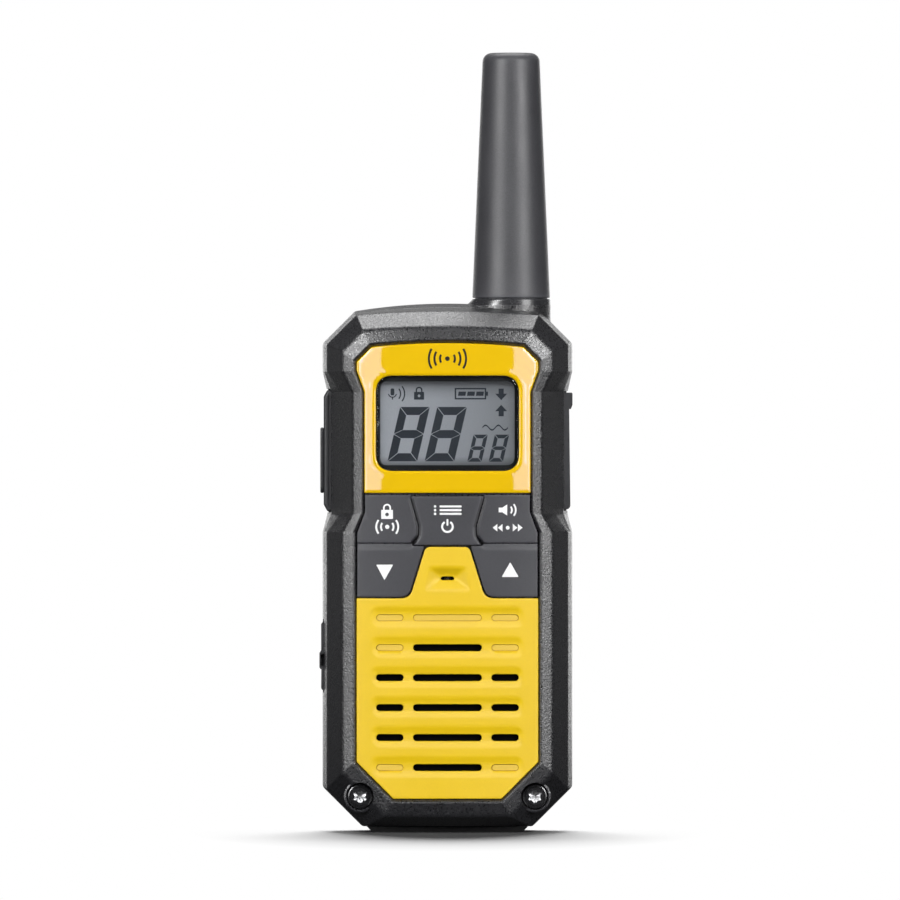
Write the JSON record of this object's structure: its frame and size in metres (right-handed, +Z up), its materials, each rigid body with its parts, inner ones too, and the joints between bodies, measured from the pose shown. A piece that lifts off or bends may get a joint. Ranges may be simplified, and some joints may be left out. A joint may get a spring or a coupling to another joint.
{
  "type": "two way radio",
  "caption": "Rugged handheld two way radio: waisted dark case, yellow front with a window and slotted grille, fixed offset antenna, rubber side covers, battery door and sprung belt clip.",
  "frame": {"origin": "on the foot's resting face, under the middle of the radio, on the parting plane between the front and rear cases", "axes": "+X to the right as seen from the front, +Y to the back, +Z up towards the antenna"},
  "size_m": [0.0595, 0.0416, 0.1833],
  "materials": {
    "case_plastic": "fine moulded grain",
    "antenna_plastic": "satin",
    "yellow_gloss": "polished",
    "yellow_matte": "fine texture",
    "clear_window": "polished",
    "lcd": "polarised film",
    "key_plastic": "satin",
    "black_rubber": "matte",
    "black_screw": "black oxide",
    "zinc_steel": "zinc plated",
    "brass": "machined",
    "white_plastic": "moulded",
    "black_plastic": "moulded",
    "board_green": "solder mask",
    "cone_paper": "pulp",
    "cell_sleeve": "printed sleeve"
  },
  "bodies": {
    "case": {"front_case": "case_plastic", "rear_case": "case_plastic", "clip_bracket": "case_plastic", "antenna_sleeve": "antenna_plastic", "display_surround": "yellow_gloss", "grille_panel": "yellow_matte", "display_lens": "clear_window", "lcd_glass": "lcd", "case_seal": "black_rubber", "keypad_mat": "black_rubber", "mic_boot": "black_rubber", "speaker_gasket": "black_rubber", "front_screws": "black_screw", "rear_screws": "black_screw", "board_screws": "zinc_steel", "clip_screw": "zinc_steel", "clip_pin": "zinc_steel", "contact_springs": "zinc_steel", "contact_plates": "zinc_steel", "usb_socket": "zinc_steel", "rf_shield": "zinc_steel", "lcd_frame": "zinc_steel", "speaker_frame": "zinc_steel", "speaker_magnet": "zinc_steel", "microphone": "zinc_steel", "key_switches": "zinc_steel", "antenna_base": "brass", "antenna_nut": "brass", "antenna_coil": "brass", "antenna_core": "white_plastic", "lcd_backlight": "white_plastic", "lcd_connector": "white_plastic", "speaker_jack": "black_plastic", "mic_jack": "black_plastic", "ptt_switch": "black_plastic", "board_components": "black_plastic", "main_board": "board_green", "speaker_cone": "cone_paper", "speaker_mesh": "cone_paper", "battery_cells": "cell_sleeve"},
    "call_key": {"call_key": "key_plastic"},
    "menu_key": {"menu_key": "key_plastic"},
    "scan_key": {"scan_key": "key_plastic"},
    "down_key": {"down_key": "key_plastic"},
    "up_key": {"up_key": "key_plastic"},
    "ptt": {"ptt_button": "black_rubber", "ptt_pad": "black_rubber"},
    "jack_flap": {"jack_cover": "black_rubber"},
    "usb_flap": {"usb_cover": "black_rubber"},
    "door": {"battery_door": "case_plastic"},
    "clip_arm": {"belt_clip": "case_plastic", "clip_spring": "zinc_steel"}
  },
  "joints": [
    {"name": "call_key_press", "type": "slide", "parent": "case", "child": "call_key", "axis": [0, 1, 0], "range_m": [0, 0.0007]},
    {"name": "menu_key_press", "type": "slide", "parent": "case", "child": "menu_key", "axis": [0, 1, 0], "range_m": [0, 0.0007]},
    {"name": "scan_key_press", "type": "slide", "parent": "case", "child": "scan_key", "axis": [0, 1, 0], "range_m": [0, 0.0007]},
    {"name": "down_key_press", "type": "slide", "parent": "case", "child": "down_key", "axis": [0, 1, 0], "range_m": [0, 0.0007]},
    {"name": "up_key_press", "type": "slide", "parent": "case", "child": "up_key", "axis": [0, 1, 0], "range_m": [0, 0.0007]},
    {"name": "ptt_press", "type": "slide", "parent": "case", "child": "ptt", "axis": [1, 0, 0], "range_m": [0, 0.001]},
    {"name": "jack_cover_hinge", "type": "hinge", "parent": "case", "child": "jack_flap", "pos_m": [0.02785, 0.0051, 0.07675], "axis": [0, 1, 0], "range_deg": [0, 105], "stiffness_Nm_per_rad": 0.002},
    {"name": "usb_cover_hinge", "type": "hinge", "parent": "case", "child": "usb_flap", "pos_m": [-0.02885, 0.00325, 0.03395], "axis": [0, -1, 0], "range_deg": [0, 105], "stiffness_Nm_per_rad": 0.0005},
    {"name": "battery_door_lift", "type": "slide", "parent": "case", "child": "door", "axis": [0, 1, 0], "range_m": [0, 0.03]},
    {"name": "belt_clip_hinge", "type": "hinge", "parent": "case", "child": "clip_arm", "pos_m": [0, 0.0236, 0.106], "axis": [1, 0, 0], "range_deg": [0, 25], "stiffness_Nm_per_rad": 0.05}
  ]
}
